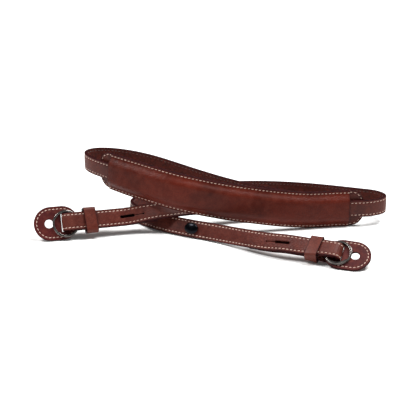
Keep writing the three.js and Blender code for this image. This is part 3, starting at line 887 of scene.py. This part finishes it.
def padBackStitches():
    # one closed run round the whole backing
    turn = np.linspace(0, math.pi / 2, 20)
    at, across = [], []
    corners = ((pad["from"], 1, 1), (pad["to"], -1, 1), (pad["to"], -1, -1), (pad["from"], 1, -1))
    for k, (end, way, sign) in enumerate(corners):
        arcAt, arcAcross = padCorner(end, way, sign, turn if k % 2 == 0 else turn[::-1])
        at.append(arcAt)
        across.append(arcAcross)
        if k % 2 == 0:  # the long side that follows this corner
            far = corners[k + 1][0] + corners[k + 1][1] * pad["corner"]
            run = np.linspace(end + way * pad["corner"], far, 120)[1:-1]
            at.append(run)
            across.append(np.full(len(run), sign * (pad["half"] - pad["stitchInset"])))
    frames = framesAt(np.concatenate(at))
    height = pad["backLow"] + pad["groove"] * 0.5
    places, normals, _ = bandLine(frames, np.concatenate(across), height, False)
    return [(places, normals, True)]


def flapStitches(side, good):
    p, out, across, n = crestFrame(side)
    outline = flapOutline(flap["stitchInset"])
    sunk = flap["groove"] * 0.5
    height = flap["top"] - sunk if good else flap["top"] - flap["thickness"] + sunk
    places = p + outline[:, :1] * out + outline[:, 1:] * across + n * height
    return [(places, np.repeat([n * (1 if good else -1)], len(places), axis=0), True)]


ring = {
    "outer": 0.0099, "gap": 0.0003,
    "inboard": 0.0028,  # its centre from the crest
    "sink": {"left": 0.0011, "right": -0.0006},  # its centre across the strap
    "Wire": 0.00155, "Flat": 0.001, "Bevel": 0.00026, "Coil Pitch": 0.00115,
    "From": 35.0, "To": 685.0, "Step From": 325.0, "Step To": 395.0,  # degrees round the ring
    "Sections": 260,
}


def ringTree():
    # one length of flat wire wound to two level coils, stepping up from one to the other
    tree, given = newTree(
        "split_ring",
        Float=["Radius", "Wire", "Flat", "Bevel", "Coil Pitch", "From", "To", "Step From", "Step To"],
        Int=["Sections"], Material=["Material"],
    )
    line = node(tree, "GeometryNodeMeshLine", {"Count": given["Sections"], "Offset": (0.001, 0, 0)})
    index = node(tree, "GeometryNodeInputIndex")
    last = maths(tree, "SUBTRACT", given["Sections"], 1.0)
    angle = ranged(tree, index, 0.0, last, given["From"], given["To"])
    rise = ranged(tree, angle, given["Step From"], given["Step To"], 0.0, given["Coil Pitch"], "SMOOTHSTEP")
    turn = maths(tree, "RADIANS", angle)
    x, y = (maths(tree, "MULTIPLY", maths(tree, operation, turn), given["Radius"])
            for operation in ("COSINE", "SINE"))
    spot = node(tree, "ShaderNodeCombineXYZ", {0: x, 1: y, 2: rise})
    coil = node(tree, "GeometryNodeSetPosition", {"Geometry": line, "Position": spot})
    curve = node(tree, "GeometryNodeMeshToCurve", {"Mesh": coil})
    level = node(tree, "GeometryNodeSetCurveNormal", {"Curve": curve}, mode="Z_UP")
    section = node(tree, "GeometryNodeCurvePrimitiveQuadrilateral",
                   {"Width": given["Wire"], "Height": given["Flat"]})
    eased = node(tree, "GeometryNodeFilletCurve",
                 {"Curve": section, "Radius": given["Bevel"], "Count": 3}, mode="POLY")
    return finishTree(tree, swept(tree, level, eased), given["Material"])


def makeRing(side, tree, material):
    values = {**ring, "Radius": ring["outer"] - ring["Wire"] / 2, "Material": material}
    piece = growPiece(f"split_ring_wire_{side}", [(0, 0, 0)], [], tree, values)
    level = -(ring["gap"] + ring["Flat"] / 2 + ring["Coil Pitch"])
    place = Matrix.Translation((-ring["inboard"], ring["sink"][side], level))
    piece.data.transform(crestMatrix(side) @ place)
    faceOutward(piece.data)
    return piece


def colour(code):
    # sRGB hex to the linear values that the shaders take
    parts = [int(code[i:i + 2], 16) / 255 for i in (1, 3, 5)]
    return (*[c / 12.92 if c <= 0.04045 else ((c + 0.055) / 1.055) ** 2.4 for c in parts], 1.0)


def newMaterial(name):
    material = bpy.data.materials.new(name)
    material.use_nodes = True
    tree = material.node_tree
    tree.nodes.clear()
    return material, tree, node(tree, "ShaderNodeTexCoord").outputs["Object"]


def finishMaterial(tree, inputs):
    shader = node(tree, "ShaderNodeBsdfPrincipled", inputs)
    node(tree, "ShaderNodeOutputMaterial", {"Surface": shader})


def noise(tree, spot, scale, detail, roughness=0.5):
    settings = {"Vector": spot, "Scale": scale, "Detail": detail, "Roughness": roughness}
    return node(tree, "ShaderNodeTexNoise", settings)


def blend(tree, factor, first, second):
    # a colour mix: inputs 6 and 7 are the colours of the mix node, output 2 its colour
    first, second = (colour(value) if isinstance(value, str) else value for value in (first, second))
    return node(tree, "ShaderNodeMix", {0: factor, 6: first, 7: second}, data_type="RGBA").outputs[2]


def bumped(tree, height, strength, distance):
    settings = {"Strength": strength, "Distance": distance, "Height": height}
    return node(tree, "ShaderNodeBump", settings)


def stretch(tree, along, rise, fall, amount, after=0.0):
    # an amount that holds over one stretch of the leather: where it rises, where it falls
    up = ranged(tree, along, *rise, 0.0, amount, "SMOOTHSTEP")
    down = ranged(tree, along, *fall, 1.0, after, "SMOOTHSTEP")
    return maths(tree, "MULTIPLY", up, down)


def grainedLeather(name, look):
    # vegetable-tanned cowhide, dyed dark red-brown and waxed: a pebbled grain that catches small
    # soft lights, cloudy dye, burnished edges almost black-red, and a plainer, drier flesh side
    material, tree, spot = newMaterial(name)
    place = node(tree, "ShaderNodeAttribute", attribute_name="place").outputs["Vector"]
    edge, flesh, bend = (node(tree, "ShaderNodeAttribute", attribute_name=key).outputs["Fac"]
                         for key in ("edge", "flesh", "bend"))
    clouds = noise(tree, spot, 38.0, 4.0, 0.55)
    streaks = noise(tree, spot, 210.0, 5.0, 0.6)
    nap = noise(tree, spot, 420.0, 6.0, 0.7)
    pores = noise(tree, spot, 1700.0, 2.0)
    cells = {"Vector": spot, "Scale": 1 / look["pebble"], "Smoothness": 0.6}
    pebble = node(tree, "ShaderNodeTexVoronoi", cells, feature="SMOOTH_F1")
    creases = node(tree, "ShaderNodeTexVoronoi", {"Vector": spot, "Scale": 0.55 / look["pebble"]},
                   feature="DISTANCE_TO_EDGE")
    along = node(tree, "ShaderNodeSeparateXYZ", {0: place})

    # how deep the grain is, and where it is coarser
    depth = ranged(tree, clouds, 0.36, 0.64, look["grainLeast"], look["grainMost"])
    ease = 0.012
    for start, stop, extra in look["coarse"]:
        more = stretch(tree, along, (start - ease, start + ease), (stop - ease, stop + ease), extra)
        depth = maths(tree, "ADD", depth, more)

    # dye, flecks, painted shade in the grain's creases, wear at the bends, flesh side and dark rim
    good = blend(tree, ranged(tree, clouds, 0.3, 0.7), look["dark"], look["light"])
    good = blend(tree, ranged(tree, streaks, 0.42, 0.66, 0.0, look["fleck"]), good, look["pale"])
    # painted shade: the creases between the pebbles are darkened towards the edge colour
    good = blend(tree, ranged(tree, creases, 0.0, 0.13, look["creaseShade"], 0.0), good, look["edge"])
    good = blend(tree, maths(tree, "MULTIPLY", bend, 0.22), good, look["pale"])
    rough = blend(tree, ranged(tree, nap, 0.38, 0.62), look["fleshDark"], look["fleshLight"])
    skin = blend(tree, maths(tree, "MULTIPLY", edge, 0.92), blend(tree, flesh, good, rough), look["edge"])

    # pebbles parted by creases, pores, and pleats across the bends
    lumps = maths(tree, "MULTIPLY", pebble, depth)
    cut = maths(tree, "MULTIPLY", ranged(tree, creases, 0.0, 0.16, 0.0, 0.6), depth)
    relief = maths(tree, "ADD", maths(tree, "SUBTRACT", cut, lumps), maths(tree, "MULTIPLY", pores, 0.35))
    stretched = node(tree, "ShaderNodeVectorMath", {0: place, 1: (700.0, 60.0, 60.0)}, operation="MULTIPLY")
    foldMask = maths(tree, "MULTIPLY", bend, 2.2)
    if "creased" in look:
        start, stop, amount = look["creased"]
        band = stretch(tree, along, (start, start + 0.02), (stop - 0.006, stop), amount, 0.3)
        foldMask = maths(tree, "ADD", foldMask, band)
    pleats = maths(tree, "MULTIPLY", noise(tree, stretched, 1.0, 3.0), foldMask)
    relief = maths(tree, "ADD", relief, pleats)

    matt = ranged(tree, streaks, 0.3, 0.7, look["rough"] - 0.06, look["rough"] + 0.08)
    finishMaterial(tree, {
        "Base Color": skin, "Roughness": maths(tree, "ADD", matt, maths(tree, "MULTIPLY", flesh, 0.2)),
        "Normal": bumped(tree, relief, 1.0, look["relief"]),
        "IOR": 1.5, "Specular IOR Level": look["specular"],
    })
    return material


def edgePaint(name):
    # burnished and painted edges: an almost black wine red, dull, a little uneven along the wall
    material, tree, spot = newMaterial(name)
    rubbed = noise(tree, spot, 520.0, 4.0)
    finishMaterial(tree, {
        "Base Color": blend(tree, ranged(tree, rubbed, 0.4, 0.7), "#1d0507", "#360d0d"), "Roughness": 0.62,
        "Normal": bumped(tree, rubbed, 0.5, 0.00005), "Specular IOR Level": 0.06,
    })
    return material


def waxedThread(name, light, dark):
    # waxed polyester saddle thread: two plies twisted, a soft sheen, painted shade in the lay of the twist
    material, tree, spot = newMaterial(name)
    ply = node(tree, "ShaderNodeAttribute", attribute_name="ply").outputs["Vector"]
    twist = node(tree, "ShaderNodeTexWave", {"Vector": ply, "Scale": 330.0, "Distortion": 0.6},
                 bands_direction="DIAGONAL").outputs[1]
    soiled = ranged(tree, noise(tree, spot, 95.0, 3.0), 0.4, 0.7, 0.0, 0.45)
    # painted shade: the thread is darkened along the sunken grooves of the twist
    base = blend(tree, ranged(tree, twist, 0.0, 1.0, 0.3, 0.0), light, dark)
    finishMaterial(tree, {
        "Base Color": blend(tree, soiled, base, dark), "Roughness": 0.55,
        "Normal": bumped(tree, twist, 0.6, 0.00008), "IOR": 1.5, "Sheen Weight": 0.25, "Sheen Roughness": 0.4,
    })
    return material


def nickelPlate(name):
    # nickel-plated spring steel, tumbled: bright, slightly warm, with fine rubbed marks round it
    material, tree, spot = newMaterial(name)
    rubbed = noise(tree, spot, 1400.0, 4.0, 0.6)
    tone = ranged(tree, noise(tree, spot, 260.0, 3.0), 0.35, 0.65)
    finishMaterial(tree, {
        "Base Color": blend(tree, tone, "#5d5856", "#938e8a"), "Metallic": 1.0,
        "Roughness": ranged(tree, rubbed, 0.3, 0.7, 0.1, 0.22), "Normal": bumped(tree, rubbed, 0.12, 0.00002),
    })
    return material


def blackNickel(name):
    # black nickel on a turned brass stud: a dark mirror with a blue cast and faint polishing haze
    material, tree, spot = newMaterial(name)
    haze = noise(tree, spot, 700.0, 4.0)
    finishMaterial(tree, {
        "Base Color": blend(tree, haze, "#030307", "#090a11"), "Metallic": 0.85,
        "Roughness": ranged(tree, haze, 0.3, 0.7, 0.16, 0.3), "Normal": bumped(tree, haze, 0.2, 0.00002),
    })
    return material


def studioPaper(name):
    # matt white paper roll under the object
    material, tree, spot = newMaterial(name)
    tooth = noise(tree, spot, 900.0, 2.0)
    finishMaterial(tree, {
        "Base Color": colour("#f7f7f6"), "Roughness": 0.85, "Normal": bumped(tree, tooth, 0.05, 0.00005),
        "Specular IOR Level": 0.15,
    })
    return material


rightCrest = path["origin"] + lineLength  # the strap's own distance at the right crest
strapLook = {
    "dark": "#36110b", "light": "#4e1b12", "pale": "#6c3529", "edge": "#25080a",
    "fleshDark": "#36110b", "fleshLight": "#531d13", "fleck": 0.35, "creaseShade": 0.3,
    "specular": 0.19, "rough": 0.5, "relief": 0.00016,
    "pebble": 0.0011,  # size of the grain
    "grainLeast": 0.15, "grainMost": 0.6,
    "coarse": [(rightCrest - 0.070, rightCrest - 0.026, 0.9)],  # the coarser grain behind the right keeper
}
# the pad's dye stands a little lighter than the strap's: painted light, making up for the lamps reaching its
# upright face less
padLook = {
    **strapLook, "dark": "#3b130c", "light": "#571d12", "fleck": 0.22, "creaseShade": 0.2,
    "specular": 0.1, "rough": 0.37, "relief": 0.00014, "pebble": 0.0010, "grainLeast": 0.12, "grainMost": 0.5,
    "coarse": [(pad["to"] - 0.055, pad["to"] - 0.008, 0.7), (pad["from"], pad["from"] + 0.055, 0.7)],
    "creased": (pad["to"] - 0.06, pad["to"] - 0.011, 1.1),  # pleats across the right end
}
liningLook = {**strapLook, "coarse": [], "grainMost": 0.4}
keeperLook = {
    **strapLook, "dark": "#431710", "light": "#5a2418", "specular": 0.18, "rough": 0.46,
    "coarse": [], "grainMost": 0.35,
}
flapLook = {
    **strapLook, "dark": "#381213", "light": "#4e1c1c", "specular": 0.1, "coarse": [], "grainMost": 0.45,
}

edgeFinish = edgePaint("burnished_edge_paint")


def paintEdges(piece):
    # the faces round a leather's cut edge take the paint
    mesh = piece.data
    edge = np.empty(len(mesh.vertices), np.float32)
    mesh.attributes["edge"].data.foreach_get("value", edge)
    mesh.materials.append(edgeFinish)
    for face in mesh.polygons:
        face.material_index = int(edge[list(face.vertices)].mean() > 0.6)


def dress(piece, slot=None, finish=None, *nodes):
    if finish is not None:
        piece.data.materials.clear()
        piece.data.materials.append(finish)
        if "edge" in piece.data.attributes:
            paintEdges(piece)
    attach(piece, "root")
    if nodes:
        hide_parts(*nodes)
    return piece


dress(makeStrap(), "strap_leather", grainedLeather("waxed_cowhide_strap", strapLook), "strap")
print("strap made")

cover = dress(makePadCover(), "pad_leather", grainedLeather("waxed_cowhide_pad", padLook), "pad_cover")
dress(makePadBacking(), "lining_leather", grainedLeather("waxed_cowhide_lining", liningLook), "pad_backing")
print("pad made")

keeperLeather = grainedLeather("waxed_cowhide_keeper", keeperLook)
flapLeather = grainedLeather("waxed_cowhide_flap", flapLook)
ringMetal = nickelPlate("nickel_plated_steel")
studMetal = blackNickel("black_nickel_brass")
ringNodes = ringTree()
for side in ends:
    dress(makeKeeper(side), "keeper_leather", keeperLeather, f"keeper_{side}")
    dress(makeFlap(side), "flap_leather", flapLeather, f"flap_{side}")
    dress(makeStud(side), "stud_metal", studMetal, f"stud_{side}")
    dress(makeRing(side, ringNodes, ringMetal), "ring_metal", None, f"split_ring_{side}")
print("keepers, flaps, rings and studs made")

cream = waxedThread("waxed_thread_cream", "#d3b6a7", "#a37c6d")
brown = waxedThread("waxed_thread_brown", "#54291f", "#30150f")
stitchNodes = stitchTree()
seams = [
    ("stitches_strap", strapStitches(True), cream, 3),
    ("stitches_strap_back", strapStitches(False), brown, 4),
    ("stitches_pad", padStitches(), cream, 5),
    ("stitches_pad_back", padBackStitches(), brown, 6),
]
for seed, side in enumerate(ends, 7):
    seams.append((f"stitches_flap_{side}", flapStitches(side, True), cream, seed))
    seams.append((f"stitches_flap_back_{side}", flapStitches(side, False), brown, seed + 2))
for name, lines, thread, seed in seams:
    dress(stitchRun(name, lines, thread, seed, stitchNodes))
print("stitches made")

view = {
    "lookAt": (-0.0024, 0.0086, -0.0001), "elevation": 22, "distance": 1.0,
    "widthThere": 0.3129,  # what the frame takes in at that distance
    "sensor": 36, "clip": 0.05,
    "shiftY": 18 / 420,  # share of the picture's width
}

# a paper floor, a large soft light above on the right, a smaller one on the left, a dim white room
studio = {
    "floor": 8.0, "drop": 0.00005, "sky": "#ffffff", "skyStrength": 0.25,
    "lights": [
        {"name": "soft_key", "at": (0.62, 0.02, 1.5), "size": 0.8, "power": 34.0},
        {"name": "soft_side", "at": (-0.8, -0.2, 1.3), "size": 0.45, "power": 20.0},
    ],
}


def makeStudio():
    half = studio["floor"] / 2
    floorZ = float(cadBox[0][2]) - studio["drop"]
    corners = [(-half, -half, floorZ), (half, -half, floorZ), (half, half, floorZ), (-half, half, floorZ)]
    floor = makePiece("paper_floor", corners, [[0, 1, 2, 3]], {}, outward=False)
    floor.data.materials.append(studioPaper("matt_white_paper"))
    world = bpy.data.worlds.new("soft_room")
    world.use_nodes = True
    sky = world.node_tree.nodes["Background"]
    sky.inputs[0].default_value = colour(studio["sky"])
    sky.inputs[1].default_value = studio["skyStrength"]
    bpy.context.scene.world = world
    bpy.context.scene.view_settings.view_transform = "Standard"  # plain display colours, as in a catalogue
    for light in studio["lights"]:
        data = bpy.data.lights.new(light["name"], "AREA")
        data.shape, data.size, data.energy = "SQUARE", light["size"], light["power"]
        lamp = addObject(light["name"], data)
        lamp.location = light["at"]
        lamp.rotation_mode = "QUATERNION"
        lamp.rotation_quaternion = lamp.location.to_track_quat("Z", "Y")


def makeCamera():
    data = bpy.data.cameras.new("photo_view")
    data.sensor_width = view["sensor"]
    data.lens = view["sensor"] * view["distance"] / view["widthThere"]
    data.shift_y = view["shiftY"]
    data.clip_start = view["clip"]
    camera = addObject("photo_view", data)
    tilt = math.radians(view["elevation"])
    x, y, z = view["lookAt"]
    camera.location = (x, y - view["distance"] * math.cos(tilt), z + view["distance"] * math.sin(tilt))
    camera.rotation_euler = (math.pi / 2 - tilt, 0, 0)
    bpy.context.scene.camera = camera


makeStudio()
makeCamera()
print("studio and camera set")
